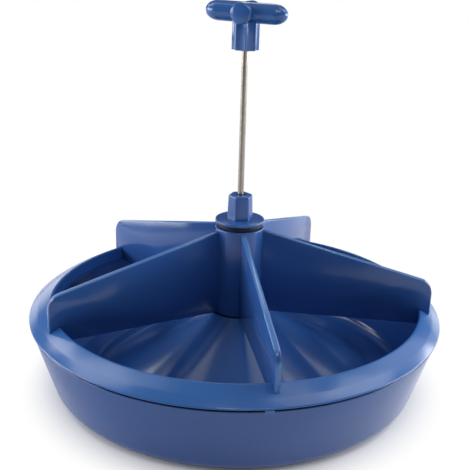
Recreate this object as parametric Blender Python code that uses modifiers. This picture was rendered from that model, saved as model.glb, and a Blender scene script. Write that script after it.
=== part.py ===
# Round feeding bowl for piglets, five places, held down by a sprung rod with a T-handle.
# Metres, +Z up. The bowl stands on the floor at z = 0 and the rod stands on the Z axis.
# The front divider points along -Y.
import math

import bmesh
import bpy
from mathutils import Matrix, Vector

# Clearance between pieces that touch, and the rounding of moulded edges
GAP = 0.0003
EDGE_ROUND = 0.0006

# Bowl
BOWL_HEIGHT = 0.0517
BASE_RADIUS = 0.1234
BASE_ROUND = 0.0144
BOWL_WALL = 0.0026
RIM_SETBACK = 0.0010
FOOT_WIDTH = 0.0204
FLOOR_FILLET = 0.010
CONE_TOP_MARGIN = 0.0012
BOSS_RADIUS = 0.0057
BOSS_HEIGHT = 0.0020

# Collar ring
RING_RADIUS = 0.140
RING_WIDTH = 0.015
RING_RISE = 0.0110
RING_EDGE = 0.0020
RING_EDGE_ROUND = 0.0010
RING_SKIN = 0.0026
SHOULDER_SETBACK = 0.0055
SHOULDER_DROP = 0.0052
SHOULDER_ROUND = 0.012
SKIRT_WIDTH = 0.0036
RIB_WIDTH = 0.0020
RIB_DEPTH = 0.0045
RIB_CLEARANCE = 0.0005
KEY_WIDTH = 0.0055
KEY_THICKNESS = 0.0007
KEY_DROP = 0.0017
KEY_ROOT = 0.0012
KEY_TURN = math.radians(-92.2)

# Hub tube and dividers
HUB_RADIUS = 0.0163
HUB_WALL = 0.0022
HUB_LENGTH = 0.0603
HUB_FLOOR = 0.0025
DIVIDERS = 5
DIVIDER_THICKNESS = 0.0036
DIVIDER_ROOT_DROP = 0.0013
DIVIDER_OVERLAP = 0.0076
DIVIDER_END_HEIGHT = 0.0304
DIVIDER_CORNER = 0.011

# Guide cap and its seal
SEAL_HEIGHT = 0.0027
SEAL_SETBACK = 0.0007
SEAL_ROUND = 0.0007
FLANGE_RADIUS = 0.0165
FLANGE_THICKNESS = 0.0022
SPIGOT_DEPTH = 0.0050
SPIGOT_WALL = 0.0020
HEX_FLATS = 0.0155
HEX_TAPER = 0.92
HEX_HEIGHT = 0.0167
HEX_ROUND = 0.0012
HEX_TURN = math.radians(30)
GUIDE_BORE = 0.0066

# Anchor rod
ROD_DIAMETER = 0.0040
ROD_EXPOSED = 0.0945
HOOK_REACH = 0.022
HOOK_BEND = 0.0065
HOOK_CLEARANCE = 0.004

# T-handle
HANDLE_TURN = math.radians(-32.5)
GRIP_LENGTH = 0.0545
GRIP_DIAMETER = 0.0126
GRIP_END = 0.009
GRIP_BOSS_DIAMETER = 0.0132
GRIP_BOSS_REACH = 0.0115
GRIP_BOSS_CROWN = 0.0014
STEM_LENGTH = 0.0175
GRIP_DROP = 0.0052
STEM_DIAMETER = 0.0172
STEM_FLUTES = 8
FLUTE_DEPTH = 0.0007
ROD_SOCKET = 0.0046
ROD_PAST_PIN = 0.0022
PIN_DIAMETER = 0.0018
PIN_LENGTH = 0.0140

# Spring, its washers and the clip on the rod
SPRING_DIAMETER = 0.0200
SPRING_WIRE = 0.0014
SPRING_TURNS = 8
END_COIL_GAP = 0.0006
WASHER_THICKNESS = 0.0012
UPPER_WASHER_LAP = 0.0013
LOWER_WASHER_FIT = 0.0008
CLIP_DIAMETER = 0.0090
CLIP_THICKNESS = 0.0010
ROD_CLEARANCE = 0.0004

# Vertices nearer than this are one
MERGE = 0.00001

# How finely round pieces are stepped. A rounding wider than WIDE_ROUND gets the finer steps.
WIDE_ROUND = 0.009
ROUND_STEPS = 3
WIDE_ROUND_STEPS = 6
LARGE_STEPS = 72
SMALL_STEPS = 40
NARROW_STEPS = 20
BEND_STEPS = 8
FLUTE_STEPS = 6
COIL_STEPS = 12
ROD_SECTION_STEPS = 5
COIL_SECTION_STEPS = 1

# Heights that follow from the sizes above
INSERT_BASE = BOWL_HEIGHT + GAP
LIP_RADIUS = RING_RADIUS - RING_WIDTH
LIP_TOP = INSERT_BASE + RING_RISE
HUB_TOP = INSERT_BASE + HUB_LENGTH
SEAL_BASE = HUB_TOP + GAP
FLANGE_BASE = SEAL_BASE + SEAL_HEIGHT + GAP
FLANGE_TOP = FLANGE_BASE + FLANGE_THICKNESS
CAP_TOP = FLANGE_TOP + HEX_HEIGHT
SPIGOT_BASE = HUB_TOP - SPIGOT_DEPTH
STEM_BASE = CAP_TOP + ROD_EXPOSED
GRIP_AXIS = STEM_BASE + STEM_LENGTH + GRIP_DROP
HUB_BORE_RADIUS = HUB_RADIUS - HUB_WALL
SPIGOT_RADIUS = HUB_BORE_RADIUS - GAP
UPPER_WASHER_TOP = SPIGOT_BASE - GAP
SPRING_TOP = UPPER_WASHER_TOP - WASHER_THICKNESS - GAP
LOWER_WASHER_BASE = INSERT_BASE + HUB_FLOOR + GAP
SPRING_BASE = LOWER_WASHER_BASE + WASHER_THICKNESS + GAP
ROD_TOP = GRIP_AXIS + ROD_PAST_PIN
HOOK_AXIS_HEIGHT = HOOK_CLEARANCE + ROD_DIAMETER / 2


def clear_scene():
    for item in list(bpy.data.objects):
        bpy.data.objects.remove(item, do_unlink=True)


def collection(name):
    group = bpy.data.collections.new(name)
    bpy.context.scene.collection.children.link(group)
    return group


def finish(name, colour, roughness, metallic=0.0):
    material = bpy.data.materials.new(name)
    material.use_nodes = True
    shader = material.node_tree.nodes["Principled BSDF"]
    shader.inputs["Base Color"].default_value = (*colour, 1.0)
    shader.inputs["Roughness"].default_value = roughness
    shader.inputs["Metallic"].default_value = metallic
    return material


def filleted(corners):
    """Closed outline through corners (x, y, fillet radius), with an arc at each filleted one."""
    outline = []
    for index, (x, y, radius) in enumerate(corners):
        corner = Vector((x, y))
        before = Vector(corners[index - 1][:2])
        after = Vector(corners[(index + 1) % len(corners)][:2])
        back = (before - corner).normalized()
        ahead = (after - corner).normalized()
        if radius <= 0 or abs(back.cross(ahead)) < 1e-6:
            outline.append((x, y))
            continue
        half = back.angle(ahead) / 2
        centre = corner + (back + ahead).normalized() * radius / math.sin(half)
        start = corner + back * radius / math.tan(half) - centre
        turn = math.pi - 2 * half
        if back.cross(ahead) > 0:
            turn = -turn
        steps = WIDE_ROUND_STEPS if radius > WIDE_ROUND else ROUND_STEPS
        for step in range(steps + 1):
            angle = turn * step / steps
            outline.append((
                centre.x + start.x * math.cos(angle) - start.y * math.sin(angle),
                centre.y + start.x * math.sin(angle) + start.y * math.cos(angle),
            ))
    return outline


def place(name, mesh, group, material, location=(0, 0, 0)):
    item = bpy.data.objects.new(name, mesh)
    item.location = location
    if material:
        mesh.materials.append(material)
    group.objects.link(item)
    return item


def smooth(mesh, angle=35):
    mesh.shade_smooth()
    mesh.set_sharp_from_angle(angle=math.radians(angle))


def turned(name, outline, group, material, steps, closed=True, location=(0, 0, 0)):
    """Solid of revolution about the object's Z axis. The outline runs down its outer side."""
    mesh = bpy.data.meshes.new(name)
    points = [(radius, 0, height) for radius, height in outline]
    edges = [(i, i + 1) for i in range(len(points) - 1)]
    if closed:
        edges.append((len(points) - 1, 0))
    mesh.from_pydata(points, edges, [])
    item = place(name, mesh, group, material, location)
    screw = item.modifiers.new("Turn", "SCREW")
    screw.steps = steps
    screw.render_steps = steps
    screw.use_merge_vertices = True
    screw.merge_threshold = MERGE
    screw.use_smooth_shade = True
    return item


def flat_outline(name, outline, thickness, group, material):
    """Plate cut to an outline in the object's XY plane, centred on it in thickness."""
    curve = bpy.data.curves.new(name, "CURVE")
    curve.dimensions = "2D"
    curve.fill_mode = "BOTH"
    curve.extrude = thickness / 2
    spline = curve.splines.new("POLY")
    spline.points.add(len(outline) - 1)
    for point, (x, y) in zip(spline.points, outline):
        point.co = (x, y, 0, 1)
    spline.use_cyclic_u = True
    item = bpy.data.objects.new(name, curve)
    curve.materials.append(material)
    group.objects.link(item)
    return item


def wire(name, points, diameter, group, material, resolution):
    """Round wire along a list of points."""
    curve = bpy.data.curves.new(name, "CURVE")
    curve.dimensions = "3D"
    curve.bevel_depth = diameter / 2
    curve.bevel_resolution = resolution
    curve.use_fill_caps = True
    spline = curve.splines.new("POLY")
    spline.points.add(len(points) - 1)
    for point, position in zip(spline.points, points):
        point.co = (*position, 1)
    item = bpy.data.objects.new(name, curve)
    curve.materials.append(material)
    group.objects.link(item)
    return item


def as_mesh(item):
    """Turns a curve object into a closed mesh object of the same name and place."""
    bpy.context.view_layer.update()
    evaluated = item.evaluated_get(bpy.context.evaluated_depsgraph_get())
    mesh = bpy.data.meshes.new_from_object(evaluated)
    form = bmesh.new()
    form.from_mesh(mesh)
    bmesh.ops.remove_doubles(form, verts=form.verts, dist=MERGE)
    form.to_mesh(mesh)
    form.free()
    name = item.name
    solid = bpy.data.objects.new(name, mesh)
    solid.matrix_world = item.matrix_world.copy()
    item.users_collection[0].objects.link(solid)
    bpy.data.objects.remove(item, do_unlink=True)
    solid.name = name
    return solid


def boolean(item, tool, operation):
    tool.hide_render = True
    tool.display_type = "WIRE"
    change = item.modifiers.new(tool.name, "BOOLEAN")
    change.operation = operation
    change.solver = "EXACT"
    change.object = tool


def ring_top(radius):
    """Height of the collar's top face at a radius, before its corners are rounded."""
    shoulder = RING_RADIUS - SHOULDER_SETBACK
    if radius <= shoulder:
        return LIP_TOP - SHOULDER_DROP * (radius - LIP_RADIUS) / (shoulder - LIP_RADIUS)
    outer = INSERT_BASE + RING_EDGE
    inner = LIP_TOP - SHOULDER_DROP
    return inner + (outer - inner) * (radius - shoulder) / SHOULDER_SETBACK


def wall_radius(height):
    """Outer radius of the bowl's slanted wall at a height."""
    rim = RING_RADIUS - RIM_SETBACK
    return BASE_RADIUS + (rim - BASE_RADIUS) * height / BOWL_HEIGHT


def wall_inset():
    """Horizontal thickness of the slanted wall."""
    slope = (RING_RADIUS - RIM_SETBACK - BASE_RADIUS) / BOWL_HEIGHT
    return BOWL_WALL * math.hypot(1, slope)


def build_bowl(group, material):
    # One moulding: slanted wall that rounds into a flat foot, and a cone that rises to the seat
    # of the hub tube.
    rim = RING_RADIUS - RIM_SETBACK
    cone_top = HUB_RADIUS + CONE_TOP_MARGIN
    valley = wall_radius(BOWL_WALL) - wall_inset() - FOOT_WIDTH
    rise = BOWL_HEIGHT - BOWL_WALL
    inset = BOWL_WALL * math.tan(math.atan2(rise, valley - cone_top) / 2)
    bore = GUIDE_BORE / 2
    outline = filleted([
        (rim, BOWL_HEIGHT, EDGE_ROUND),
        (BASE_RADIUS, 0, BASE_ROUND),
        (valley - inset, 0, 0),
        (cone_top - inset, rise, 0),
        (bore, rise, 0),
        (bore, BOWL_HEIGHT + BOSS_HEIGHT, 0),
        (BOSS_RADIUS, BOWL_HEIGHT + BOSS_HEIGHT, 0),
        (BOSS_RADIUS, BOWL_HEIGHT, 0),
        (cone_top, BOWL_HEIGHT, 0),
        (valley, BOWL_WALL, FLOOR_FILLET),
        (valley + FOOT_WIDTH, BOWL_WALL, BASE_ROUND - BOWL_WALL),
        (rim - wall_inset(), BOWL_HEIGHT, EDGE_ROUND),
    ])
    return turned("bowl", outline, group, material, LARGE_STEPS)


def build_collar(group, cutters, material):
    # Hollow collar on the bowl's rim. A rib under it drops inside the wall and centres it, and
    # a small key hangs over the rim's outside.
    shoulder = RING_RADIUS - SHOULDER_SETBACK
    skirt = RING_RADIUS - SKIRT_WIDTH
    rib_base = BOWL_HEIGHT - RIB_DEPTH
    rib_outer = wall_radius(rib_base) - wall_inset() - RIB_CLEARANCE
    rib_inner = rib_outer - RIB_WIDTH
    lip_back = LIP_RADIUS + RING_SKIN
    outline = filleted([
        (LIP_RADIUS, LIP_TOP, RING_SKIN / 2),
        (shoulder, LIP_TOP - SHOULDER_DROP, SHOULDER_ROUND),
        (RING_RADIUS, INSERT_BASE + RING_EDGE, RING_EDGE_ROUND),
        (RING_RADIUS, INSERT_BASE, EDGE_ROUND),
        (skirt, INSERT_BASE, 0),
        (skirt, ring_top(skirt) - RING_SKIN, 0),
        (rib_outer, ring_top(rib_outer) - RING_SKIN, 0),
        (rib_outer, rib_base, 0),
        (rib_inner, rib_base, 0),
        (rib_inner, ring_top(rib_inner) - RING_SKIN, 0),
        (lip_back, ring_top(lip_back) - RING_SKIN, 0),
        (lip_back, INSERT_BASE, 0),
        (LIP_RADIUS, INSERT_BASE, 0),
    ])
    collar = turned("collar_ring", outline, group, material, LARGE_STEPS)

    inner = RING_RADIUS - RIM_SETBACK + GAP
    height = KEY_DROP + KEY_ROOT
    form = bmesh.new()
    bmesh.ops.create_cube(form, size=1)
    bmesh.ops.scale(form, verts=form.verts, vec=(KEY_THICKNESS, KEY_WIDTH, height))
    mesh = bpy.data.meshes.new("collar_key")
    form.to_mesh(mesh)
    form.free()
    key = place("collar_key", mesh, cutters, None)
    middle = (inner + KEY_THICKNESS / 2, 0, INSERT_BASE - KEY_DROP + height / 2)
    key.matrix_world = Matrix.Rotation(KEY_TURN, 4, "Z") @ Matrix.Translation(middle)
    boolean(collar, key, "UNION")


def build_hub(group, material):
    # Tube that houses the spring. Its floor seats the spring and fits round the bowl's boss.
    hole = BOSS_RADIUS + GAP
    outline = filleted([
        (HUB_RADIUS, HUB_TOP, EDGE_ROUND),
        (HUB_RADIUS, INSERT_BASE, 0),
        (hole, INSERT_BASE, 0),
        (hole, INSERT_BASE + HUB_FLOOR, 0),
        (HUB_BORE_RADIUS, INSERT_BASE + HUB_FLOOR, 0),
        (HUB_BORE_RADIUS, HUB_TOP, EDGE_ROUND),
    ])
    return turned("hub_tube", outline, group, material, SMALL_STEPS)


def build_dividers(group, material):
    # Upright plates from the hub to the collar, notched over the collar's lip.
    root = HUB_RADIUS + GAP
    end = LIP_RADIUS + DIVIDER_OVERLAP
    end_top = INSERT_BASE + DIVIDER_END_HEIGHT
    outline = filleted([
        (root, INSERT_BASE, 0),
        (LIP_RADIUS - GAP, INSERT_BASE, 0),
        (LIP_RADIUS - GAP, ring_top(LIP_RADIUS) + GAP, 0),
        (end, ring_top(end) + GAP, 0),
        (end, end_top, DIVIDER_CORNER),
        (root, HUB_TOP - DIVIDER_ROOT_DROP, 0),
    ])
    for number in range(DIVIDERS):
        item = flat_outline(f"divider_{number + 1}", outline, DIVIDER_THICKNESS, group, material)
        weld = item.modifiers.new("Weld", "WELD")
        weld.merge_threshold = MERGE
        edge = item.modifiers.new("Edge", "BEVEL")
        edge.width = EDGE_ROUND
        edge.segments = 2
        edge.limit_method = "ANGLE"
        edge.angle_limit = math.radians(60)
        turn = 2 * math.pi * number / DIVIDERS - math.pi / 2
        upright = Matrix.Rotation(math.pi / 2, 4, "X")
        item.matrix_world = Matrix.Rotation(turn, 4, "Z") @ upright


def build_seal(group, material):
    # Black ring between the tube's rim and the cap's flange.
    outer = HUB_RADIUS - SEAL_SETBACK
    inner = SPIGOT_RADIUS + GAP
    outline = filleted([
        (outer, SEAL_BASE + SEAL_HEIGHT, SEAL_ROUND),
        (outer, SEAL_BASE, SEAL_ROUND),
        (inner, SEAL_BASE, 0),
        (inner, SEAL_BASE + SEAL_HEIGHT, 0),
    ])
    return turned("cap_seal", outline, group, material, SMALL_STEPS)


def drill(name, diameter, low, high, cutters):
    """Round cutter along the Z axis between two heights."""
    form = bmesh.new()
    bmesh.ops.create_cone(
        form, cap_ends=True, segments=NARROW_STEPS, radius1=diameter / 2,
        radius2=diameter / 2, depth=high - low,
    )
    mesh = bpy.data.meshes.new(name)
    form.to_mesh(mesh)
    form.free()
    return place(name, mesh, cutters, None, (0, 0, (low + high) / 2))


def build_cap(group, cutters, material):
    # Flanged plug with a hexagon for a spanner. Its bore guides the rod loosely.
    core = GUIDE_BORE / 4
    cup = SPIGOT_RADIUS - SPIGOT_WALL
    outline = filleted([
        (FLANGE_RADIUS, FLANGE_TOP, EDGE_ROUND),
        (FLANGE_RADIUS, FLANGE_BASE, EDGE_ROUND),
        (SPIGOT_RADIUS, FLANGE_BASE, 0),
        (SPIGOT_RADIUS, SPIGOT_BASE, 0),
        (cup, SPIGOT_BASE, 0),
        (cup, FLANGE_BASE, 0),
        (core, FLANGE_BASE, 0),
        (core, FLANGE_TOP, 0),
    ])
    cap = turned("guide_cap", outline, group, material, SMALL_STEPS)

    overlap = FLANGE_THICKNESS / 2
    radius = HEX_FLATS / 2 / math.cos(math.pi / 6)
    hexagon = bmesh.new()
    bmesh.ops.create_cone(
        hexagon, cap_ends=True, segments=6, radius1=radius, radius2=radius * HEX_TAPER,
        depth=HEX_HEIGHT + overlap,
    )
    kept = [edge for edge in hexagon.edges if max(vert.co.z for vert in edge.verts) > 0]
    bmesh.ops.bevel(hexagon, geom=kept, offset=HEX_ROUND, segments=2, profile=0.5,
                    affect="EDGES")
    mesh = bpy.data.meshes.new("cap_hexagon")
    hexagon.to_mesh(mesh)
    hexagon.free()
    centre = FLANGE_TOP + (HEX_HEIGHT - overlap) / 2
    nut = place("cap_hexagon", mesh, cutters, None, (0, 0, centre))
    nut.rotation_euler.z = HEX_TURN
    boolean(cap, nut, "UNION")
    bore = drill("cap_drill", GUIDE_BORE, SPIGOT_BASE, CAP_TOP + HEX_HEIGHT / 2, cutters)
    boolean(cap, bore, "DIFFERENCE")


def build_rod(group, cutters, material):
    # One bent wire: straight up into the handle, with a level hook under the cone.
    bend = [
        (
            HOOK_BEND * (1 - math.cos(angle)),
            0,
            HOOK_AXIS_HEIGHT + HOOK_BEND * (1 - math.sin(angle)),
        )
        for angle in (math.pi / 2 * step / BEND_STEPS for step in range(BEND_STEPS + 1))
    ]
    points = [(0, 0, ROD_TOP)] + bend + [(HOOK_REACH, 0, HOOK_AXIS_HEIGHT)]
    rod = as_mesh(wire("anchor_rod", points, ROD_DIAMETER, group, material,
                       ROD_SECTION_STEPS))
    rod.rotation_euler.z = HANDLE_TURN
    smooth(rod.data)
    cross = drill("rod_cross_hole", PIN_DIAMETER + 2 * GAP, -ROD_DIAMETER, ROD_DIAMETER, cutters)
    cross.matrix_world = handle_frame() @ Matrix.Rotation(math.pi / 2, 4, "X")
    boolean(rod, cross, "DIFFERENCE")


def handle_frame():
    """Place of the grip: its length along X, its middle on the rod's axis."""
    return Matrix.Translation((0, 0, GRIP_AXIS)) @ Matrix.Rotation(HANDLE_TURN, 4, "Z")


def capsule(length, diameter, end, steps=BEND_STEPS):
    """Outline of a round bar with domed ends, from its top pole to its lower one."""
    straight = length / 2 - end
    dome = [
        (diameter / 2 * math.sin(angle), straight + end * math.cos(angle))
        for angle in (math.pi / 2 * step / steps for step in range(steps + 1))
    ]
    return dome + [(radius, -height) for radius, height in reversed(dome)]


def fluted_outline():
    """Section of the stem: shallow hollows between ridges."""
    ridge = STEM_DIAMETER / 2
    outline = []
    for step in range(STEM_FLUTES * FLUTE_STEPS):
        share = step / FLUTE_STEPS
        hollow = math.sin(math.pi * (share % 1))
        angle = 2 * math.pi * (share - 0.5) / STEM_FLUTES
        radius = ridge - FLUTE_DEPTH * hollow - chord_drop(share % 1)
        outline.append((radius * math.cos(angle), radius * math.sin(angle)))
    return outline


def chord_drop(share):
    """How far a flat between two ridges lies inside the circle through them."""
    ridge = STEM_DIAMETER / 2
    half = math.pi / STEM_FLUTES
    return ridge - ridge * math.cos(half) / math.cos(half * (2 * share - 1))


def build_handle(group, cutters, material):
    # One moulding: round grip, short cross boss and fluted stem, with a socket for the rod.
    grip = turned("t_handle", capsule(GRIP_LENGTH, GRIP_DIAMETER, GRIP_END), group, material,
                  NARROW_STEPS, closed=False)
    grip.matrix_world = handle_frame() @ Matrix.Rotation(math.pi / 2, 4, "Y")

    boss = turned(
        "handle_boss",
        capsule(2 * GRIP_BOSS_REACH, GRIP_BOSS_DIAMETER, GRIP_BOSS_CROWN, steps=4),
        cutters, None, NARROW_STEPS, closed=False,
    )
    boss.matrix_world = handle_frame() @ Matrix.Rotation(math.pi / 2, 4, "X")
    boolean(grip, boss, "UNION")

    sink = GRIP_DROP + STEM_LENGTH / 2
    stem = as_mesh(flat_outline("handle_stem", fluted_outline(), STEM_LENGTH, cutters, material))
    stem.matrix_world = handle_frame() @ Matrix.Translation((0, 0, -sink))
    boolean(grip, stem, "UNION")

    socket = drill("handle_socket", ROD_SOCKET, STEM_BASE - STEM_LENGTH, ROD_TOP + GAP, cutters)
    boolean(grip, socket, "DIFFERENCE")

    start = GRIP_BOSS_REACH - PIN_LENGTH
    hole = drill("handle_pin_hole", PIN_DIAMETER + 2 * GAP, start - 2 * GAP,
                 GRIP_BOSS_REACH * 2, cutters)
    along = Matrix.Rotation(-math.pi / 2, 4, "X")
    middle = hole.matrix_world.copy()
    hole.matrix_world = handle_frame() @ along @ middle
    boolean(grip, hole, "DIFFERENCE")


def build_pin(group, material):
    # Pin driven in from the back of the boss, through the rod.
    back = GRIP_BOSS_REACH - GRIP_BOSS_CROWN - GAP
    pin = turned("handle_pin", [
        (0, back),
        (PIN_DIAMETER / 2, back),
        (PIN_DIAMETER / 2, back - PIN_LENGTH + GRIP_BOSS_CROWN),
        (0, back - PIN_LENGTH + GRIP_BOSS_CROWN),
    ], group, material, NARROW_STEPS, closed=False)
    pin.matrix_world = handle_frame() @ Matrix.Rotation(-math.pi / 2, 4, "X")


def washer(name, outer, inner, base, thickness, group, material):
    return turned(name, [
        (outer, base + thickness),
        (outer, base),
        (inner, base),
        (inner, base + thickness),
    ], group, material, SMALL_STEPS)


def build_washers(group, material):
    # The upper one rides on the spring and stops under the cap. The lower one lies on the floor.
    bore = ROD_DIAMETER / 2 + ROD_CLEARANCE
    washer("upper_spring_washer", SPIGOT_RADIUS - SPIGOT_WALL + UPPER_WASHER_LAP, bore,
           UPPER_WASHER_TOP - WASHER_THICKNESS, WASHER_THICKNESS, group, material)
    washer("lower_spring_washer", HUB_BORE_RADIUS - LOWER_WASHER_FIT, bore,
           LOWER_WASHER_BASE, WASHER_THICKNESS, group, material)


def build_clip(group, material):
    # Ring pressed on the rod above the upper washer, so that the spring lifts the rod.
    washer("retaining_clip", CLIP_DIAMETER / 2, ROD_DIAMETER / 2 + GAP,
           UPPER_WASHER_TOP + GAP, CLIP_THICKNESS, group, material)


def build_spring(group, material):
    # Compression spring with one closed coil at each end.
    radius = (SPRING_DIAMETER - SPRING_WIRE) / 2
    low = SPRING_BASE + SPRING_WIRE / 2
    high = SPRING_TOP - SPRING_WIRE / 2
    closed_rise = SPRING_WIRE + END_COIL_GAP
    points = []
    for step in range(SPRING_TURNS * COIL_STEPS + 1):
        turn = step / COIL_STEPS
        if turn <= 1:
            height = low + closed_rise * turn
        elif turn >= SPRING_TURNS - 1:
            height = high - closed_rise * (SPRING_TURNS - turn)
        else:
            share = (turn - 1) / (SPRING_TURNS - 2)
            height = low + closed_rise + (high - low - 2 * closed_rise) * share
        angle = 2 * math.pi * turn
        points.append((radius * math.cos(angle), radius * math.sin(angle), height))
    wire("spring", points, SPRING_WIRE, group, material, COIL_SECTION_STEPS)

    nearest = min(
        (Vector(points[first]) - Vector(points[second])).length
        for first in range(len(points))
        for second in range(first + COIL_STEPS // 2, len(points))
    )
    print(f"Least gap between the spring's coils: {(nearest - SPRING_WIRE) * 1000:.2f} mm")


def main():
    clear_scene()
    parts = collection("Pig feeding bowl")
    cutters = collection("Cutters")
    blue = finish("Blue polypropylene", (0.030, 0.085, 0.270), 0.22)
    steel = finish("Stainless steel", (0.62, 0.61, 0.59), 0.15, metallic=1.0)
    spring_steel = finish("Spring steel", (0.35, 0.35, 0.36), 0.35, metallic=1.0)
    build_bowl(parts, blue)
    build_collar(parts, cutters, blue)
    build_hub(parts, blue)
    build_dividers(parts, blue)
    build_seal(parts, finish("Black rubber", (0.012, 0.012, 0.014), 0.6))
    build_cap(parts, cutters, blue)
    build_rod(parts, cutters, steel)
    build_handle(parts, cutters, blue)
    build_pin(parts, steel)
    build_washers(parts, steel)
    build_clip(parts, steel)
    build_spring(parts, spring_steel)


main()
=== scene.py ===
import math

import bpy
from mathutils import Matrix, Vector


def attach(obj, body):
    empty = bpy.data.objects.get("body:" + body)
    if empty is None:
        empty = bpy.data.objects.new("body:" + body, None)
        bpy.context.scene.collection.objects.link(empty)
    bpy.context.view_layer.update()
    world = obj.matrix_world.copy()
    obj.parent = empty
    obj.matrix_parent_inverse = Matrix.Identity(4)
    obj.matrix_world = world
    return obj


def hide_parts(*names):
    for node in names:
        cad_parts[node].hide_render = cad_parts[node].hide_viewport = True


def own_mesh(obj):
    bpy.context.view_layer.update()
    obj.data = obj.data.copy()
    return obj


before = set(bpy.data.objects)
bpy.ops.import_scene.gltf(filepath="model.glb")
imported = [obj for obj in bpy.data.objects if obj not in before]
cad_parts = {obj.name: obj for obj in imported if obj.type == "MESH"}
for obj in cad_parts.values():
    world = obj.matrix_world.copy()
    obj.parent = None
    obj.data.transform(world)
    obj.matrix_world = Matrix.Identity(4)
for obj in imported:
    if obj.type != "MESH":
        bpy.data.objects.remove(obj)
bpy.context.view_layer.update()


# The viewpoint: a little above the handle's foot, in front of the bowl and to its left, with
# the camera rolled slightly. The photograph is a crop, so its lens axis is off the middle.
CAMERA_PLACE = Vector((-0.0984, -0.5370, 0.2985))
CAMERA_HEADING = math.radians(13.035)
CAMERA_DIP = math.radians(20.495)
CAMERA_ROLL = math.radians(2.745)
FOCAL_PIXELS = 852.87
LENS_AXIS = (275.8, 251.9)
PHOTO_WIDTH = 470
SENSOR_WIDTH = 36.0
NEAREST_SEEN = 0.01

camera_data = bpy.data.cameras.new("Camera")
camera_data.sensor_width = SENSOR_WIDTH
camera_data.lens = FOCAL_PIXELS * SENSOR_WIDTH / PHOTO_WIDTH
camera_data.shift_x = 0.5 - LENS_AXIS[0] / PHOTO_WIDTH
camera_data.shift_y = LENS_AXIS[1] / PHOTO_WIDTH - 0.5
camera_data.clip_start = NEAREST_SEEN
camera = bpy.data.objects.new("Camera", camera_data)
ahead = Vector((
    math.sin(CAMERA_HEADING) * math.cos(CAMERA_DIP),
    math.cos(CAMERA_HEADING) * math.cos(CAMERA_DIP),
    -math.sin(CAMERA_DIP),
))
level = Vector((math.cos(CAMERA_HEADING), -math.sin(CAMERA_HEADING), 0))
above = level.cross(ahead)
across = level * math.cos(CAMERA_ROLL) + above * math.sin(CAMERA_ROLL)
upward = above * math.cos(CAMERA_ROLL) - level * math.sin(CAMERA_ROLL)
camera.matrix_world = Matrix.Translation(CAMERA_PLACE) @ Matrix(
    (across, upward, -ahead)
).transposed().to_4x4()
bpy.context.scene.collection.objects.link(camera)
bpy.context.scene.camera = camera
bpy.context.scene.view_settings.view_transform = "Standard"


# The studio: a pale floor that runs out into a white background, softboxes and panels on all
# sides, and a dim room with a paler ceiling. From below and under the foot, the floor is clear.
class Value:
    """A number that varies over a surface. Arithmetic on it adds Math nodes."""

    def __init__(self, finish, socket):
        self.finish = finish
        self.socket = socket

    def math(self, operation, first, second):
        return self.finish.node("Math", {"operation": operation}, {0: first, 1: second})

    def __add__(self, other):
        return self.math("ADD", self, other)

    def __sub__(self, other):
        return self.math("SUBTRACT", self, other)

    def __rsub__(self, other):
        return self.math("SUBTRACT", other, self)

    def __mul__(self, other):
        return self.math("MULTIPLY", self, other)

    __radd__ = __add__
    __rmul__ = __mul__


class Finish:
    """The nodes of one material or of the world."""

    def __init__(self, owner):
        owner.use_nodes = True
        self.owner = owner
        self.tree = owner.node_tree
        self.tree.nodes.clear()

    def node(self, kind, settings=None, sockets=None, output=0):
        """Adds a node, with its settings made first, and gives the value of one output."""
        made = self.tree.nodes.new("ShaderNode" + kind)
        for setting, value in (settings or {}).items():
            setattr(made, setting, value)
        for name, value in (sockets or {}).items():
            if isinstance(value, Value):
                self.tree.links.new(value.socket, made.inputs[name])
            elif isinstance(value, tuple) and made.inputs[name].type == "RGBA":
                made.inputs[name].default_value = (*value, 1.0)
            else:
                made.inputs[name].default_value = value
        return Value(self, made.outputs[output]) if made.outputs else None

    def mix(self, factor, first, second):
        """A mix of two colours, which are a Mix node's inputs 6 and 7 and its output 2."""
        return self.node("Mix", {"data_type": "RGBA"}, {0: factor, 6: first, 7: second}, 2)

    def mix_shader(self, factor, first, second):
        return self.node("MixShader", sockets={0: factor, 1: first, 2: second})

    def smooth_step(self, value, low, high):
        """Rises smoothly from 0 to 1 while the value goes from low to high."""
        return self.node(
            "MapRange",
            {"interpolation_type": "SMOOTHSTEP"},
            {"Value": value, "From Min": low, "From Max": high},
        )

    def noise(self, place, scale, detail, roughness=0.5):
        return self.node("TexNoise", sockets={
            "Vector": place, "Scale": scale, "Detail": detail, "Roughness": roughness,
        })

    def height(self, place):
        return self.node("SeparateXYZ", sockets={"Vector": place}, output="Z")


WHITE = (1.0, 1.0, 1.0)
CEILING = (0.30, 0.30, 0.30)
ROOM = (0.05, 0.05, 0.05)
ROOM_LIGHT = (0.05, 0.05, 0.05)
UNDERSIDE_LIGHT = (0.60, 0.60, 0.60)
CEILING_FADE = (0.50, 0.90)
HORIZON_FADE = (-0.10, 0.0)

world = bpy.data.worlds.new("Studio")
bpy.context.scene.world = world
studio = Finish(world)
skyward = studio.height(studio.node("TexCoord", output="Generated"))
camera_ray = studio.node("LightPath", output="Is Camera Ray")
sharp_ray = studio.node("LightPath", output="Is Glossy Ray")
room = studio.mix(studio.smooth_step(skyward, *CEILING_FADE), ROOM, CEILING)
over_horizon = studio.smooth_step(skyward, *HORIZON_FADE)
light = studio.mix(over_horizon, UNDERSIDE_LIGHT, studio.mix(sharp_ray, ROOM_LIGHT, room))
shown = studio.mix(camera_ray, light, WHITE)
background = studio.node("Background", sockets={"Color": shown, "Strength": 1.0})
studio.node("OutputWorld", sockets={"Surface": background})

FLOOR_SIZE = 12.0
FLOOR_HEIGHT = -0.0002
FLOOR_COLOUR = (0.86, 0.86, 0.87)
FLOOR_FADE = (0.112, 0.150)
BRIGHT_SIDE = (-0.15, 0.15)
FLOOR_OPENING = (0.1115, 0.1120)

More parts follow.
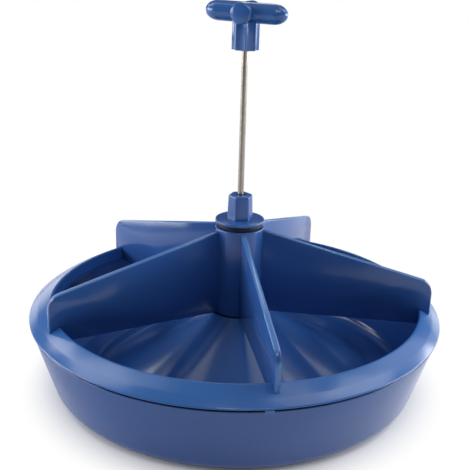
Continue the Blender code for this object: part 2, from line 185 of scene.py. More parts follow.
bpy.ops.object.select_all(action="DESELECT")
bpy.ops.mesh.primitive_plane_add(size=FLOOR_SIZE, location=(0, 0, FLOOR_HEIGHT))
floor = bpy.context.active_object
floor.name = "floor"
paper = Finish(bpy.data.materials.new("white_paper"))
place = paper.node("TexCoord", output="Object")
distance = paper.node("VectorMath", {"operation": "LENGTH"}, {0: place}, "Value")
sideways = paper.node("SeparateXYZ", sockets={"Vector": place}, output="X")
far = paper.smooth_step(distance, *FLOOR_FADE)
bright_side = paper.smooth_step(sideways, *BRIGHT_SIDE)
outside = paper.smooth_step(distance, *FLOOR_OPENING)
camera_ray = paper.node("LightPath", output="Is Camera Ray")
sharp_ray = paper.node("LightPath", output="Is Glossy Ray")
from_below = paper.node("NewGeometry", output="Backfacing")
lit = paper.node("BsdfDiffuse", sockets={"Color": FLOOR_COLOUR})
glow = paper.node("Emission", sockets={"Color": WHITE, "Strength": 1.0})
clear = paper.node("BsdfTransparent")
sheet = paper.mix_shader(far * (camera_ray + sharp_ray * bright_side), lit, glow)
open_below = paper.mix_shader((1 - from_below) * outside, clear, sheet)
paper.node("OutputMaterial", sockets={"Surface": open_below})
floor.data.materials.append(paper.owner)

LAMP_AIM = Vector((0, 0, 0.07))
LAMP_DISTANCE = 1.2
CREAM = (1.0, 0.97, 0.86)
ROSE = (1.0, 0.94, 0.89)


def softbox(name, bearing, elevation, width, height, brightness, colour=WHITE):
    """A softbox round the object. Bearings are degrees from straight behind it, + to the right."""
    turn, lift = math.radians(bearing), math.radians(elevation)
    away = Vector((
        math.sin(turn) * math.cos(lift), math.cos(turn) * math.cos(lift), math.sin(lift)
    ))
    data = bpy.data.lights.new(name, "AREA")
    data.shape = "RECTANGLE"
    data.size = width
    data.size_y = height
    data.energy = math.pi * width * height * brightness
    data.color = colour
    item = bpy.data.objects.new(name, data)
    item.matrix_world = Matrix.LocRotScale(
        LAMP_AIM + away * LAMP_DISTANCE, (-away).to_track_quat("-Z", "Y"), None
    )
    bpy.context.scene.collection.objects.link(item)


softbox("left_low", -79, 12, 1.00, 0.40, 8.2)
softbox("left_box", -67, 47, 0.50, 0.50, 3.4)
softbox("left_corner", -48, 31, 0.24, 0.26, 4.6)
softbox("left_high", -66, 65, 0.30, 0.24, 1.4, CREAM)
softbox("left_panel", -26, 2, 0.85, 0.30, 1.8)
softbox("right_low", 90, 12, 1.10, 0.40, 9.4)
softbox("right_box", 96, 48, 0.50, 0.50, 3.4)
softbox("right_top", 87, 74, 0.22, 0.22, 1.5)
softbox("right_panel", 68, 31, 0.42, 0.70, 1.4)
softbox("right_panel_low", 54, 3, 0.36, 0.28, 2.0)
softbox("back_high", 14, 41, 0.34, 0.46, 2.3)
softbox("front_right_high", 125, 64, 0.40, 0.40, 2.0, ROSE)
softbox("front_top", 180, 50, 0.50, 0.30, 3.6)
softbox("front_streak", -166, 56, 0.12, 0.34, 9.0)


# The bowl: one glossy blue polypropylene moulding. Its wall leans out from a rounded foot, and
# its floor rises as a cone to the seat of the hub tube, which leaves a hollow under the cone.
BOWL_HEIGHT = 0.0517
BOWL_RIM = 0.1390
BOWL_FOOT = 0.1234
BOWL_FOOT_ROUND = 0.0144
BOWL_SKIN = 0.0026
BOWL_EDGE = 0.0009
BOWL_VALLEY = 0.1011
BOWL_VALLEY_ROUND = 0.012
BOWL_CONE_TOP = 0.0176
BOWL_BOSS = 0.0057
BOWL_BOSS_RISE = 0.0020
BOWL_BORE = 0.0033
BOWL_SIDES = 200
FULL_TURN = 2 * math.pi
SAME_PLACE = 1e-6
SEED_SIZE = 0.001


def only(choose, kind="VERT"):
    """Selects just the vertices, edges or faces of the mesh in edit mode that are chosen."""
    bpy.ops.mesh.select_all(action="DESELECT")
    bpy.ops.object.mode_set(mode="OBJECT")
    bpy.context.tool_settings.mesh_select_mode = (kind == "VERT", kind == "EDGE", kind == "FACE")
    mesh = bpy.context.active_object.data
    items = {"VERT": mesh.vertices, "EDGE": mesh.edges, "FACE": mesh.polygons}[kind]
    for item in items:
        item.select = choose(item)
    bpy.ops.object.mode_set(mode="EDIT")


def start_point(name, place):
    """A new mesh of one vertex, in edit mode."""
    bpy.ops.object.select_all(action="DESELECT")
    bpy.ops.mesh.primitive_plane_add(size=SEED_SIZE, location=(0, 0, 0))
    piece = bpy.context.active_object
    piece.name = name
    bpy.context.tool_settings.mesh_select_mode = (True, False, False)
    bpy.ops.object.mode_set(mode="EDIT")
    bpy.ops.mesh.select_all(action="SELECT")
    bpy.ops.mesh.merge(type="CENTER")
    bpy.ops.transform.translate(value=place)
    return piece


def closed_up():
    """Merges the doubles of the mesh in edit mode, turns its faces out and ends the editing."""
    bpy.ops.mesh.select_all(action="SELECT")
    bpy.ops.mesh.remove_doubles(threshold=SAME_PLACE)
    bpy.ops.mesh.normals_make_consistent(inside=False)
    bpy.ops.object.mode_set(mode="OBJECT")


def turned(name, section, sides, closed=True, steps=4):
    """Draws half a section from corner to corner, rounds the corners and spins it on Z.

    A corner is its radius, its height and, if it is rounded, the radius of its rounding."""
    corners = [Vector((corner[0], 0, corner[1])) for corner in section]
    piece = start_point(name, corners[0])
    for before, after in zip(corners, corners[1:]):
        bpy.ops.mesh.extrude_region()
        bpy.ops.transform.translate(value=after - before)
    if closed:
        ends = (corners[0], corners[-1])
        only(lambda vertex: any((vertex.co - end).length < SAME_PLACE for end in ends))
        bpy.ops.mesh.edge_face_add()
    for index, corner in enumerate(section):
        if len(corner) == 3:
            here = corners[index]
            back = (corners[index - 1] - here).angle(corners[(index + 1) % len(corners)] - here)
            only(lambda vertex: (vertex.co - here).length < SAME_PLACE)
            bpy.ops.mesh.bevel(
                offset=corner[2] / math.tan(back / 2), offset_type="OFFSET",
                segments=steps, affect="VERTICES",
            )
    bpy.ops.mesh.select_all(action="SELECT")
    bpy.ops.mesh.spin(
        steps=sides, angle=FULL_TURN, center=(0, 0, 0), axis=(0, 0, 1), dupli=False
    )
    closed_up()
    return piece


def shaded(piece, sharp_from=34):
    """Shades a finished piece smooth, apart from edges sharper than an angle in degrees."""
    bpy.ops.object.select_all(action="DESELECT")
    piece.select_set(True)
    bpy.context.view_layer.objects.active = piece
    bpy.ops.object.shade_smooth_by_angle(angle=math.radians(sharp_from))


wall_lean = (BOWL_RIM - BOWL_FOOT) / BOWL_HEIGHT
wall_skin = BOWL_SKIN * math.hypot(1, wall_lean)
wall_foot = BOWL_FOOT + wall_lean * BOWL_SKIN - wall_skin
cone_slope = math.atan2(BOWL_HEIGHT - BOWL_SKIN, BOWL_VALLEY - BOWL_CONE_TOP)
cone_skin = BOWL_SKIN * math.tan(cone_slope / 2)
bowl = turned("feeding_bowl", [
    (BOWL_RIM, BOWL_HEIGHT, BOWL_EDGE),
    (BOWL_FOOT, 0, BOWL_FOOT_ROUND),
    (BOWL_VALLEY - cone_skin, 0, BOWL_EDGE),
    (BOWL_CONE_TOP - cone_skin, BOWL_HEIGHT - BOWL_SKIN, BOWL_EDGE),
    (BOWL_BORE, BOWL_HEIGHT - BOWL_SKIN),
    (BOWL_BORE, BOWL_HEIGHT + BOWL_BOSS_RISE),
    (BOWL_BOSS, BOWL_HEIGHT + BOWL_BOSS_RISE),
    (BOWL_BOSS, BOWL_HEIGHT),
    (BOWL_CONE_TOP, BOWL_HEIGHT, BOWL_EDGE),
    (BOWL_VALLEY, BOWL_SKIN, BOWL_VALLEY_ROUND),
    (wall_foot, BOWL_SKIN, BOWL_FOOT_ROUND - BOWL_SKIN),
    (BOWL_RIM - wall_skin, BOWL_HEIGHT, BOWL_EDGE),
], BOWL_SIDES, steps=9)
shaded(bowl)

LIGHTER_TIMES = 1.10
LIGHTER_BY = 0.004
DARKER_TIMES = 0.90
CLOUD_SHARE = 0.7
SCUFF_LEVELS = (0.70, 0.78)
SCUFF_SHARE = 0.05
PAINTED_LEAST = 0.6
PAINTED_CLOUD = 0.6
HAZE_ROUGHNESS = 0.10
CLOUD_ROUGHNESS = 0.06
SCUFF_ROUGHNESS = 0.06
HAZE_RISE = 0.03
GRAIN_RISE = 0.003
PLASTIC_INDEX = 1.49


def blue_plastic(name, colour, roughness, wave, wave_scale, painted_light=None):
    """Glossy moulded polypropylene with soft waviness, faint haze and a few fine scuffs.

    Where shade or a highlight is painted on, the last argument gives how far, from 0 to 1, and the
    painted colour there."""
    finish = Finish(bpy.data.materials.new(name))
    place = finish.node("TexCoord", output="Object")
    cloud = finish.noise(place, scale=14.0, detail=3.0)
    haze = finish.noise(place, scale=60.0, detail=5.0, roughness=0.6)
    grain = finish.noise(place, scale=900.0, detail=2.0)
    drift = finish.noise(place, scale=wave_scale, detail=1.0)
    scuff = finish.smooth_step(finish.noise(place, scale=420.0, detail=1.0), *SCUFF_LEVELS)
    light = tuple(min(1.0, channel * LIGHTER_TIMES + LIGHTER_BY) for channel in colour)
    dark = tuple(channel * DARKER_TIMES for channel in colour)
    tone = finish.mix(cloud * CLOUD_SHARE + haze * (1 - CLOUD_SHARE), dark, light)
    tone = finish.mix(scuff * SCUFF_SHARE, tone, light)
    # Painted shade or a painted highlight, mixed into the colour where the given function puts it.
    if painted_light:
        painted_share, painted_colour = painted_light(finish, place)
        tone = finish.mix(painted_share * (cloud * PAINTED_CLOUD + PAINTED_LEAST), tone, painted_colour)
    smoothest = roughness - (HAZE_ROUGHNESS + CLOUD_ROUGHNESS) / 2
    rough = haze * HAZE_ROUGHNESS + cloud * CLOUD_ROUGHNESS + scuff * SCUFF_ROUGHNESS + smoothest
    surface = drift * wave + haze * HAZE_RISE + grain * GRAIN_RISE
    bump = finish.node("Bump", sockets={"Height": surface, "Strength": 1.0, "Distance": 0.001})
    shader = finish.node("BsdfPrincipled", sockets={
        "Base Color": tone, "Roughness": rough, "Normal": bump, "IOR": PLASTIC_INDEX,
    })
    finish.node("OutputMaterial", sockets={"Surface": shader})
    return finish.owner


BOWL_BLUE = (0.022, 0.084, 0.298)
# Near-black painted shade for the seam between the collar and the bowl's rim.
SEAM_SHADE = (0.002, 0.004, 0.010)
RIM_SHADE_START = 0.0005
RIM_SHADE_FULL = 0.0001


def rim_seam_shade(finish, place):
    """Painted shade on top of the bowl's rim, in the seam under the collar."""
    rim_shade_share = finish.smooth_step(
        finish.height(place), BOWL_HEIGHT - RIM_SHADE_START, BOWL_HEIGHT - RIM_SHADE_FULL
    )
    return rim_shade_share, SEAM_SHADE


bowl_plastic = blue_plastic(
    "blue_polypropylene_bowl", BOWL_BLUE,
    roughness=0.16, wave=0.25, wave_scale=22.0, painted_light=rim_seam_shade,
)
bowl.data.materials.append(bowl_plastic)
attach(bowl, "base")
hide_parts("bowl")


# The collar: a hollow blue polypropylene moulding that lies on the bowl's rim and slopes down to
# its outer edge. A rib under it drops inside the bowl's wall, and a dark seam shows below it,
# with painted shade on the collar's underside and the bowl's rim there.
COLLAR_BASE = 0.0520
COLLAR_RADIUS = 0.140
COLLAR_LIP = 0.125
COLLAR_LIP_ROUND = 0.0013
COLLAR_RISE = 0.0110
COLLAR_EDGE = 0.0020
COLLAR_EDGE_ROUND = 0.0010
COLLAR_SKIN = 0.0026
COLLAR_FALL = 0.0008
SHOULDER = 0.1345
SHOULDER_HEIGHT = 0.0578
SHOULDER_ROUND = 0.012
SEAM_RISE = 0.0011
SEAM_ROUND = 0.0003
SEAM_BACK = 0.1372
SKIRT = 0.1364
RIB_OUTER = 0.1344
RIB_INNER = 0.1324
RIB_FOOT = 0.0472
RIB_ROUND = 0.0004

collar_top = COLLAR_BASE + COLLAR_RISE
collar = turned("collar", [
    (COLLAR_LIP, collar_top, COLLAR_LIP_ROUND),
    (SHOULDER, SHOULDER_HEIGHT, SHOULDER_ROUND),
    (COLLAR_RADIUS, COLLAR_BASE + COLLAR_EDGE, COLLAR_EDGE_ROUND),
    (COLLAR_RADIUS, COLLAR_BASE + SEAM_RISE, SEAM_ROUND),
    (SEAM_BACK, COLLAR_BASE + SEAM_RISE),
    (SEAM_BACK, COLLAR_BASE),
    (SKIRT, COLLAR_BASE),
    (SKIRT, COLLAR_BASE + COLLAR_EDGE),
    (RIB_OUTER, SHOULDER_HEIGHT - COLLAR_SKIN),
    (RIB_OUTER, RIB_FOOT, RIB_ROUND),
    (RIB_INNER, RIB_FOOT, RIB_ROUND),
    (RIB_INNER, SHOULDER_HEIGHT - COLLAR_SKIN + COLLAR_FALL),
    (COLLAR_LIP + COLLAR_SKIN, collar_top - COLLAR_SKIN - COLLAR_FALL),
    (COLLAR_LIP + COLLAR_SKIN, COLLAR_BASE),
    (COLLAR_LIP, COLLAR_BASE),
], BOWL_SIDES, steps=6)
shaded(collar)
# Lighter than the blue of the tube and dividers, which are one moulding with the collar: painted
# light, standing in for more light from above on the collar's top.
COLLAR_LIT_BLUE = (0.029, 0.122, 0.385)
# Reach of the painted seam shade, above and below the collar's edge.
SEAM_SHADE_REACH = 0.0003
SEAM_SHADE_FULL = 0.0001


def collar_seam_shade(finish, place):
    """Painted shade on the collar's underside, in the seam above the bowl's rim."""
    height = finish.height(place)
    edge = COLLAR_BASE + SEAM_RISE
    over = finish.smooth_step(height, edge + SEAM_SHADE_FULL, edge + SEAM_SHADE_REACH)
    near = finish.smooth_step(height, edge - SEAM_SHADE_REACH, edge - SEAM_SHADE_FULL)
    return (1 - over) * near, SEAM_SHADE


collar_plastic = blue_plastic(
    "blue_polypropylene_collar", COLLAR_LIT_BLUE,
    roughness=0.20, wave=0.45, wave_scale=30.0, painted_light=collar_seam_shade,
)
collar.data.materials.append(collar_plastic)
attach(collar, "base")
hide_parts("collar_ring")


# The collar's key: a small tab of the same blue plastic, moulded under the collar's front edge.
# It hangs over the outside of the bowl's rim, below the end of the front divider.
KEY_BEARING = math.radians(-92.2)
KEY_SIZE = (0.0007, 0.0055, 0.0029)
KEY_RADIUS = 0.13965
KEY_FOOT = 0.0503
KEY_ROUND = 0.0003

bpy.ops.object.select_all(action="DESELECT")
bpy.ops.mesh.primitive_cube_add(size=1, location=(0, 0, 0), scale=KEY_SIZE)
key = bpy.context.active_object
key.name = "collar_key"
bpy.ops.object.transform_apply(scale=True)
bpy.ops.object.mode_set(mode="EDIT")
bpy.ops.mesh.select_all(action="SELECT")
bpy.ops.mesh.bevel(offset=KEY_ROUND, segments=3)
bpy.ops.object.mode_set(mode="OBJECT")
key.data.transform(
    Matrix.Rotation(KEY_BEARING, 4, "Z")
    @ Matrix.Translation((KEY_RADIUS, 0, KEY_FOOT + KEY_SIZE[2] / 2))
)
shaded(key)
key.data.materials.append(collar_plastic)
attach(key, "base")


# The hub tube: blue polypropylene, in one moulding with the dividers and the collar. It stands
# on the bowl's cone and houses the spring, and its floor fits round the bowl's boss.
HUB_RADIUS = 0.0163
HUB_WALL = 0.0022
HUB_BASE = 0.0520
HUB_TOP = 0.1123
HUB_FLOOR = 0.0025
HUB_HOLE = 0.0060
HUB_RIM_ROUND = 0.0007
HUB_FOOT_ROUND = 0.0003
HUB_FLOOR_ROUND = 0.0008
TUBE_SIDES = 96

hub = turned("hub_tube_shell", [
    (HUB_RADIUS, HUB_TOP, HUB_RIM_ROUND),
    (HUB_RADIUS, HUB_BASE, HUB_FOOT_ROUND),
    (HUB_HOLE, HUB_BASE),
    (HUB_HOLE, HUB_BASE + HUB_FLOOR),
    (HUB_RADIUS - HUB_WALL, HUB_BASE + HUB_FLOOR, HUB_FLOOR_ROUND),
    (HUB_RADIUS - HUB_WALL, HUB_TOP, HUB_RIM_ROUND),
], TUBE_SIDES)
shaded(hub)
BLUE = (0.028, 0.0955, 0.326)
hub_plastic = blue_plastic(
    "blue_polypropylene_hub", BLUE, roughness=0.17, wave=0.20, wave_scale=40.0
)
hub.data.materials.append(hub_plastic)
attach(hub, "base")
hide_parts("hub_tube")


# The dividers: five upright plates in one blue moulding with the collar and the tube. Each runs
# out from the tube, slopes down a little, and ends in a rounded corner on the collar.
DIVIDERS = 5
DIVIDER_THICKNESS = 0.0036
DIVIDER_ROOT = 0.0150
DIVIDER_ROOT_TOP = 0.1110
DIVIDER_END = 0.1326
DIVIDER_END_TOP = 0.0824
DIVIDER_CORNER = 0.011
DIVIDER_NOTCH = 0.0600
DIVIDER_NOTCH_PLAY = 0.0005
DIVIDER_SINK = 0.0002
DIVIDER_EDGE = 0.0007
IN_LINE_WITHIN = math.radians(0.5)
EDGE_FROM = math.radians(60)
QUARTER_TURN = math.pi / 2

bpy.ops.object.select_all(action="DESELECT")
bpy.ops.mesh.primitive_plane_add(size=1, location=(0, 0, 0))
plate = bpy.context.active_object
plate.name = "divider_plate_1"
bpy.ops.object.mode_set(mode="EDIT")
bpy.ops.mesh.select_all(action="SELECT")
length = DIVIDER_END - DIVIDER_ROOT
rise = DIVIDER_ROOT_TOP - HUB_BASE
bpy.ops.transform.resize(value=(length, rise, 1), center_override=(0, 0, 0))
bpy.ops.transform.translate(value=(DIVIDER_ROOT + length / 2, HUB_BASE + rise / 2, 0))
drop = (DIVIDER_ROOT_TOP - DIVIDER_END_TOP) / length
bpy.ops.mesh.bisect(
    plane_co=(DIVIDER_ROOT, DIVIDER_ROOT_TOP, 0), plane_no=(drop, 1, 0), clear_outer=True
)
fall = (collar_top - SHOULDER_HEIGHT) / (SHOULDER - COLLAR_LIP)
for cut, way in (
    ((COLLAR_LIP + DIVIDER_NOTCH_PLAY, 0, 0), (1, 0, 0)),
    ((SHOULDER, SHOULDER_HEIGHT - DIVIDER_SINK, 0), (fall, 1, 0)),
):
    bpy.ops.mesh.select_all(action="SELECT")
    bpy.ops.mesh.bisect(plane_co=cut, plane_no=way)
only(lambda face: face.center.x > COLLAR_LIP and face.center.y < DIVIDER_NOTCH, "FACE")
bpy.ops.mesh.delete(type="FACE")
corner = Vector((DIVIDER_END, DIVIDER_END_TOP, 0))
only(lambda vertex: (vertex.co - corner).length < SAME_PLACE)
bpy.ops.mesh.bevel(
    offset=DIVIDER_CORNER * math.tan((QUARTER_TURN - math.atan(drop)) / 2),
    segments=12, affect="VERTICES",
)
bpy.ops.mesh.select_all(action="SELECT")
bpy.ops.mesh.dissolve_limited(angle_limit=IN_LINE_WITHIN)
bpy.ops.object.mode_set(mode="OBJECT")
thicken = plate.modifiers.new("Thickness", "SOLIDIFY")
thicken.thickness = DIVIDER_THICKNESS
thicken.offset = 0
edge = plate.modifiers.new("Edge", "BEVEL")
edge.width = DIVIDER_EDGE
edge.segments = 3
edge.limit_method = "ANGLE"
edge.angle_limit = EDGE_FROM
edge.harden_normals = True
for modifier in ("Thickness", "Edge"):
    bpy.ops.object.modifier_apply(modifier=modifier)
shaded(plate)
upright = Matrix.Rotation(QUARTER_TURN, 4, "X")
forward = Matrix.Rotation(-QUARTER_TURN, 4, "Z")
plate.data.transform(forward @ upright)

# A paler blue painted along the plates' top edges and ends, as a highlight from the light above.
EDGE_HIGHLIGHT_BLUE = (0.080, 0.200, 0.480)
EDGE_HIGHLIGHT_REACH = 0.0012
EDGE_HIGHLIGHT_FULL = 0.0001


def plate_edge_highlight(finish, place):
    """A painted highlight: paler blue along a plate's sloping top and its outer end, where light
    catches them.
    """
    level = finish.node("VectorMath", {"operation": "MULTIPLY"}, {0: place, 1: (1, 1, 0)})
    radius = finish.node("VectorMath", {"operation": "LENGTH"}, {0: level}, "Value")
    crest = DIVIDER_ROOT_TOP + drop * DIVIDER_ROOT
    up_slope = finish.height(place) + radius * drop
    top = finish.smooth_step(up_slope, crest - EDGE_HIGHLIGHT_REACH, crest - EDGE_HIGHLIGHT_FULL)
    end = finish.smooth_step(radius, DIVIDER_END - EDGE_HIGHLIGHT_REACH, DIVIDER_END - EDGE_HIGHLIGHT_FULL)
    return finish.node("Math", {"operation": "MAXIMUM"}, {0: top, 1: end}), EDGE_HIGHLIGHT_BLUE


plate_plastic = blue_plastic(
    "blue_polypropylene_dividers", BLUE,
    roughness=0.17, wave=0.20, wave_scale=25.0, painted_light=plate_edge_highlight,
)
plate.data.materials.append(plate_plastic)

for number in range(1, DIVIDERS + 1):
    divider = plate
    if number > 1:
        divider = plate.copy()
        divider.data = plate.data.copy()
        divider.name = f"divider_plate_{number}"
        bpy.context.scene.collection.objects.link(divider)
        turn = FULL_TURN * (number - 1) / DIVIDERS
        divider.data.transform(Matrix.Rotation(turn, 4, "Z"))
    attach(divider, "base")
    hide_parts(f"divider_{number}")


# The seal: a black rubber ring, pressed between the tube's rim and the guide cap's flange. Only
# its rounded outer edge shows, dull and a little dusty.
SEAL_RADIUS = 0.0153
SEAL_BORE = 0.0141
SEAL_BASE = 0.1126
SEAL_HEIGHT = 0.0027
SEAL_ROUND = 0.0011
SEAL_BORE_ROUND = 0.0003
RUBBER_BLACK = (0.003, 0.003, 0.004)
RUBBER_DUSTY = (0.010, 0.010, 0.012)
RUBBER_ROUGHNESS = 0.55
DUST_ROUGHNESS = 0.2

seal = turned("rubber_seal", [
    (SEAL_RADIUS, SEAL_BASE + SEAL_HEIGHT, SEAL_ROUND),
    (SEAL_RADIUS, SEAL_BASE, SEAL_ROUND),
    (SEAL_BORE, SEAL_BASE, SEAL_BORE_ROUND),
    (SEAL_BORE, SEAL_BASE + SEAL_HEIGHT, SEAL_BORE_ROUND),
], TUBE_SIDES, steps=5)
shaded(seal)
rubber = Finish(bpy.data.materials.new("black_rubber_matt"))
place = rubber.node("TexCoord", output="Object")
dust = rubber.noise(place, scale=300.0, detail=4.0)
grit = rubber.noise(place, scale=2500.0, detail=2.0)
bump = rubber.node("Bump", sockets={"Height": grit, "Strength": 0.4, "Distance": 0.0001})
shader = rubber.node("BsdfPrincipled", sockets={
    "Base Color": rubber.mix(dust, RUBBER_BLACK, RUBBER_DUSTY),
    "Roughness": dust * DUST_ROUGHNESS + RUBBER_ROUGHNESS,
    "Normal": bump,
})
rubber.node("OutputMaterial", sockets={"Surface": shader})
seal.data.materials.append(rubber.owner)
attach(seal, "base")
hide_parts("cap_seal")


# The guide cap: a blue polypropylene plug with a flange, and a hexagon for a spanner. It closes
# the tube, and its bore guides the rod loosely.
FLANGE_RADIUS = 0.0165
FLANGE_BASE = 0.1156
FLANGE_TOP = 0.1178
FLANGE_TOP_ROUND = 0.0008
FLANGE_FOOT_ROUND = 0.0005
FLANGE_HOLE = 0.001
CAP_TOP = 0.1345
CAP_BORE = 0.0033
SPIGOT_RADIUS = 0.0138
SPIGOT_FOOT = 0.1073
SPIGOT_WALL = 0.0020
SPIGOT_ROUND = 0.0004
HEX_SIDES = 6
HEX_FLATS = 0.0155
HEX_SINK = 0.001
HEX_SIDE_ROUND = 0.0008
HEX_SIDE_RISE = 0.01
HEX_TOP_ROUND = 0.0012
HEX_TAPER = 0.92
HEX_TURN = math.radians(30)
ROD_SIDES = 48
CUT_PAST = 0.01


def combine(piece, tool, operation):
    """Joins a tool to a piece or cuts it out, and removes the tool."""
    change = piece.modifiers.new("Combine", "BOOLEAN")
    change.operation = operation
    change.solver = "EXACT"
    change.object = tool
    bpy.ops.object.select_all(action="DESELECT")
    piece.select_set(True)
    bpy.context.view_layer.objects.active = piece
    bpy.ops.object.modifier_apply(modifier="Combine")
    bpy.data.objects.remove(tool, do_unlink=True)


def rod_of(name, sides, radius, low, high):
    """A plain cylinder on the Z axis between two heights, for cutting or joining."""
    bpy.ops.object.select_all(action="DESELECT")
    bpy.ops.mesh.primitive_cylinder_add(
        vertices=sides, radius=radius, depth=high - low, location=(0, 0, 0)
    )
    item = bpy.context.active_object
    item.name = name
    item.data.transform(Matrix.Translation((0, 0, (low + high) / 2)))
    return item


cap = turned("guide_cap_shell", [
    (FLANGE_RADIUS, FLANGE_TOP, FLANGE_TOP_ROUND),
    (FLANGE_RADIUS, FLANGE_BASE, FLANGE_FOOT_ROUND),
    (SPIGOT_RADIUS, FLANGE_BASE),
    (SPIGOT_RADIUS, SPIGOT_FOOT, SPIGOT_ROUND),
    (SPIGOT_RADIUS - SPIGOT_WALL, SPIGOT_FOOT, SPIGOT_ROUND),
    (SPIGOT_RADIUS - SPIGOT_WALL, FLANGE_BASE),
    (FLANGE_HOLE, FLANGE_BASE),
    (FLANGE_HOLE, FLANGE_TOP),
], TUBE_SIDES)
hex_radius = HEX_FLATS / 2 / math.cos(math.pi / HEX_SIDES)
hexagon = rod_of("hexagon", HEX_SIDES, hex_radius, FLANGE_TOP - HEX_SINK, CAP_TOP)
bpy.ops.object.mode_set(mode="EDIT")
only(lambda vertex: vertex.co.z > CAP_TOP - SAME_PLACE)
bpy.ops.transform.resize(value=(HEX_TAPER, HEX_TAPER, 1), center_override=(0, 0, CAP_TOP))
heights = [vertex.co.z for vertex in hexagon.data.vertices]
only(lambda e: abs(heights[e.vertices[0]] - heights[e.vertices[1]]) > HEX_SIDE_RISE, "EDGE")
bpy.ops.mesh.bevel(offset=HEX_SIDE_ROUND, segments=4)
bpy.ops.object.mode_set(mode="OBJECT")
heights = [vertex.co.z for vertex in hexagon.data.vertices]
bpy.ops.object.mode_set(mode="EDIT")
only(lambda e: all(heights[v] > CAP_TOP - SAME_PLACE for v in e.vertices), "EDGE")
bpy.ops.mesh.bevel(offset=HEX_TOP_ROUND, segments=4, loop_slide=True)
bpy.ops.object.mode_set(mode="OBJECT")
hexagon.data.transform(Matrix.Rotation(HEX_TURN, 4, "Z"))
combine(cap, hexagon, "UNION")
bore = rod_of("bore", ROD_SIDES, CAP_BORE, SPIGOT_FOOT, CAP_TOP + CUT_PAST)
combine(cap, bore, "DIFFERENCE")
shaded(cap, sharp_from=30)
cap_plastic = blue_plastic(
    "blue_polypropylene_cap", BLUE, roughness=0.22, wave=0.05, wave_scale=60.0
)
cap.data.materials.append(cap_plastic)
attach(cap, "base")
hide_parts("guide_cap")


# The anchor rod: one bright drawn steel wire, straight up into the handle, with a level hook at
# its foot that lies in the hollow under the cone until the rod is pressed down.
ROD_RADIUS = 0.0020
ROD_TOP = 0.2539
HOOK_HEIGHT = 0.0060
HOOK_BEND = 0.0065
HOOK_REACH = 0.022
HANDLE_TURN = math.radians(-32.5)
STEEL_DARK = (0.28, 0.25, 0.22)
STEEL_BRIGHT = (0.40, 0.36, 0.33)
STEEL_ROUGHNESS = 0.20
STREAK_ROUGHNESS = 0.12
STAIN_ROUGHNESS = 0.08

bend_top = HOOK_HEIGHT + HOOK_BEND
rod = rod_of("anchor_rod_wire", ROD_SIDES, ROD_RADIUS, bend_top, ROD_TOP)
bpy.ops.object.mode_set(mode="EDIT")
only(lambda face: face.center.z < bend_top + SAME_PLACE, "FACE")
bpy.ops.mesh.spin(
    steps=12, angle=QUARTER_TURN, center=(HOOK_BEND, 0, bend_top), axis=(0, -1, 0), dupli=False
)
bpy.ops.mesh.extrude_region()
bpy.ops.transform.translate(value=(HOOK_REACH - HOOK_BEND, 0, 0))
closed_up()
rod.data.transform(Matrix.Rotation(HANDLE_TURN, 4, "Z"))
shaded(rod)
steel = Finish(bpy.data.materials.new("drawn_stainless_steel"))
place = steel.node("TexCoord", output="Object")
along = steel.node("Mapping", sockets={"Vector": place, "Scale": (1.0, 1.0, 0.02)})
streak = steel.noise(along, scale=3000.0, detail=3.0)
stain = steel.noise(place, scale=80.0, detail=4.0)
bump = steel.node("Bump", sockets={"Height": streak, "Strength": 0.25, "Distance": 0.0001})
shader = steel.node("BsdfPrincipled", sockets={
    "Base Color": steel.mix(stain, STEEL_DARK, STEEL_BRIGHT),
    "Metallic": 1.0,
    "Roughness": streak * STREAK_ROUGHNESS + stain * STAIN_ROUGHNESS + STEEL_ROUGHNESS,
    "Normal": bump,
})
steel.node("OutputMaterial", sockets={"Surface": shader})
rod.data.materials.append(steel.owner)
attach(rod, "spindle")
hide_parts("anchor_rod")


# The T-handle: one blue polypropylene moulding, pinned on the rod's top. A round grip with domed
# ends, a short cross boss with slightly domed faces, and a stem with eight shallow flutes.
GRIP_AXIS = 0.2517
GRIP_LENGTH = 0.0545
GRIP_RADIUS = 0.0063
GRIP_DOME = 0.009
BOSS_RADIUS = 0.0066
BOSS_REACH = 0.0115
BOSS_CROWN = 0.0014
BAR_SIDES = 64
STEM_RADIUS = 0.0086
STEM_FOOT = 0.2290
STEM_TOP = 0.2465
STEM_SIDES = 128
STEM_FLUTES = 8
FLUTE_RADIUS = 0.0069
FLUTE_DEPTH = 0.0007
RIDGE_ROUND = 0.0003
RIDGE_FROM = math.radians(25)
SOCKET_RADIUS = 0.0023
SOCKET_PAST_ROD = 0.0003


def domed_bar(name, length, radius, dome, steps):
    """Round bar along Z with domed ends, turned in one from its two poles."""
    straight = length / 2 - dome
    half = [
        (radius * math.sin(turn), straight + dome * math.cos(turn))
        for turn in (QUARTER_TURN * step / steps for step in range(steps + 1))
    ]
    section = half + [(across, -reach) for across, reach in reversed(half)]
    return turned(name, section, BAR_SIDES, closed=False)


grip_place = Matrix.Translation((0, 0, GRIP_AXIS)) @ Matrix.Rotation(HANDLE_TURN, 4, "Z")
handle = domed_bar("t_handle_moulding", GRIP_LENGTH, GRIP_RADIUS, GRIP_DOME, steps=16)
handle.data.transform(grip_place @ Matrix.Rotation(QUARTER_TURN, 4, "Y"))
boss = domed_bar("boss", 2 * BOSS_REACH, BOSS_RADIUS, BOSS_CROWN, steps=10)
boss.data.transform(grip_place @ Matrix.Rotation(QUARTER_TURN, 4, "X"))
combine(handle, boss, "UNION")

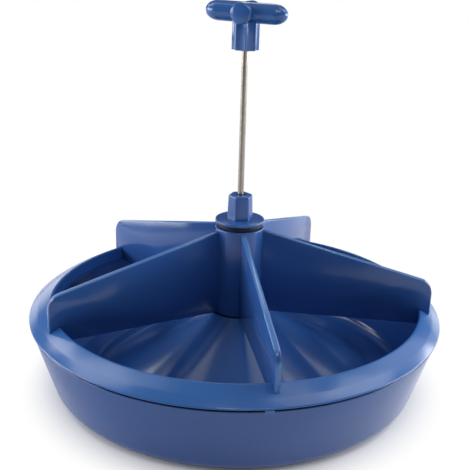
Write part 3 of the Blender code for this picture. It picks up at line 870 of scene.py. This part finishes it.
stem = rod_of("stem", STEM_SIDES, STEM_RADIUS, STEM_FOOT, STEM_TOP)
chord = STEM_RADIUS * math.cos(math.pi / STEM_FLUTES)
for number in range(STEM_FLUTES):
    flute = rod_of(
        "flute", STEM_SIDES, FLUTE_RADIUS, STEM_FOOT - CUT_PAST, GRIP_AXIS + CUT_PAST
    )
    turn = FULL_TURN * number / STEM_FLUTES
    flute.data.transform(
        Matrix.Rotation(turn, 4, "Z")
        @ Matrix.Translation((chord - FLUTE_DEPTH + FLUTE_RADIUS, 0, 0))
    )
    combine(stem, flute, "DIFFERENCE")
stem.data.transform(Matrix.Rotation(HANDLE_TURN, 4, "Z"))
soften = stem.modifiers.new("Ridges", "BEVEL")
soften.width = RIDGE_ROUND
soften.segments = 3
soften.limit_method = "ANGLE"
soften.angle_limit = RIDGE_FROM
bpy.ops.object.modifier_apply(modifier="Ridges")
combine(handle, stem, "UNION")
socket = rod_of(
    "socket", ROD_SIDES, SOCKET_RADIUS, STEM_FOOT - CUT_PAST, ROD_TOP + SOCKET_PAST_ROD
)
combine(handle, socket, "DIFFERENCE")
shaded(handle, sharp_from=30)
HANDLE_BLUE = (0.030, 0.108, 0.340)
handle_plastic = blue_plastic(
    "blue_polypropylene_handle", HANDLE_BLUE, roughness=0.16, wave=0.05, wave_scale=60.0
)
handle.data.materials.append(handle_plastic)
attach(handle, "spindle")
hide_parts("t_handle")


# The small steel pieces inside: the cross pin in the handle, the ring on the rod, and the two
# washers that the spring works between. They are plain turned and stamped parts.
for node in ("handle_pin", "retaining_clip", "upper_spring_washer", "lower_spring_washer"):
    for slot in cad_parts[node].material_slots:
        slot.material = steel.owner


# The spring: oiled spring wire, coiled with one closed turn at each end. It stands on the lower
# washer inside the tube and is squeezed when the handle is pressed.
SPRING_FOOT = 0.0563
SPRING_HEIGHT = 0.0492
COIL_RADIUS = 0.0093
WIRE_RADIUS = 0.0007
WIRE_SIDES = 12
COIL_TURNS = 8
TURN_STEPS = 24
END_TURN_RISE = 0.0020
WIRE_DARK = (0.24, 0.23, 0.22)
WIRE_BRIGHT = (0.42, 0.41, 0.40)
WIRE_ROUGHNESS = 0.28
TARNISH_ROUGHNESS = 0.2

bpy.ops.object.select_all(action="DESELECT")
bpy.ops.mesh.primitive_circle_add(
    vertices=WIRE_SIDES, radius=WIRE_RADIUS, fill_type="NGON", location=(0, 0, 0),
    rotation=(QUARTER_TURN, 0, 0),
)
coil = bpy.context.active_object
coil.name = "compression_spring"
bpy.ops.object.transform_apply(rotation=True)
bpy.context.tool_settings.mesh_select_mode = (False, False, True)
bpy.ops.object.mode_set(mode="EDIT")
bpy.ops.mesh.select_all(action="SELECT")
bpy.ops.transform.translate(value=(COIL_RADIUS, 0, SPRING_FOOT + WIRE_RADIUS))
free_rise = SPRING_HEIGHT - 2 * WIRE_RADIUS - 2 * END_TURN_RISE
for turn in range(COIL_TURNS):
    at_end = turn in (0, COIL_TURNS - 1)
    turn_rise = END_TURN_RISE if at_end else free_rise / (COIL_TURNS - 2)
    for step in range(TURN_STEPS):
        bpy.ops.mesh.extrude_region()
        # With no window open, this operator turns the other way round.
        bpy.ops.transform.rotate(
            value=-FULL_TURN / TURN_STEPS, orient_axis="Z", center_override=(0, 0, 0)
        )
        bpy.ops.transform.translate(value=(0, 0, turn_rise / TURN_STEPS))
bpy.ops.mesh.select_all(action="SELECT")
bpy.ops.mesh.normals_make_consistent(inside=False)
bpy.ops.object.mode_set(mode="OBJECT")
shaded(coil, sharp_from=50)
spring_steel = Finish(bpy.data.materials.new("oiled_spring_wire"))
place = spring_steel.node("TexCoord", output="Object")
tarnish = spring_steel.noise(place, scale=200.0, detail=4.0)
shader = spring_steel.node("BsdfPrincipled", sockets={
    "Base Color": spring_steel.mix(tarnish, WIRE_DARK, WIRE_BRIGHT),
    "Metallic": 1.0,
    "Roughness": tarnish * TARNISH_ROUGHNESS + WIRE_ROUGHNESS,
})
spring_steel.node("OutputMaterial", sockets={"Surface": shader})
coil.data.materials.append(spring_steel.owner)
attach(coil, "base")
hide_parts("spring")
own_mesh(coil)
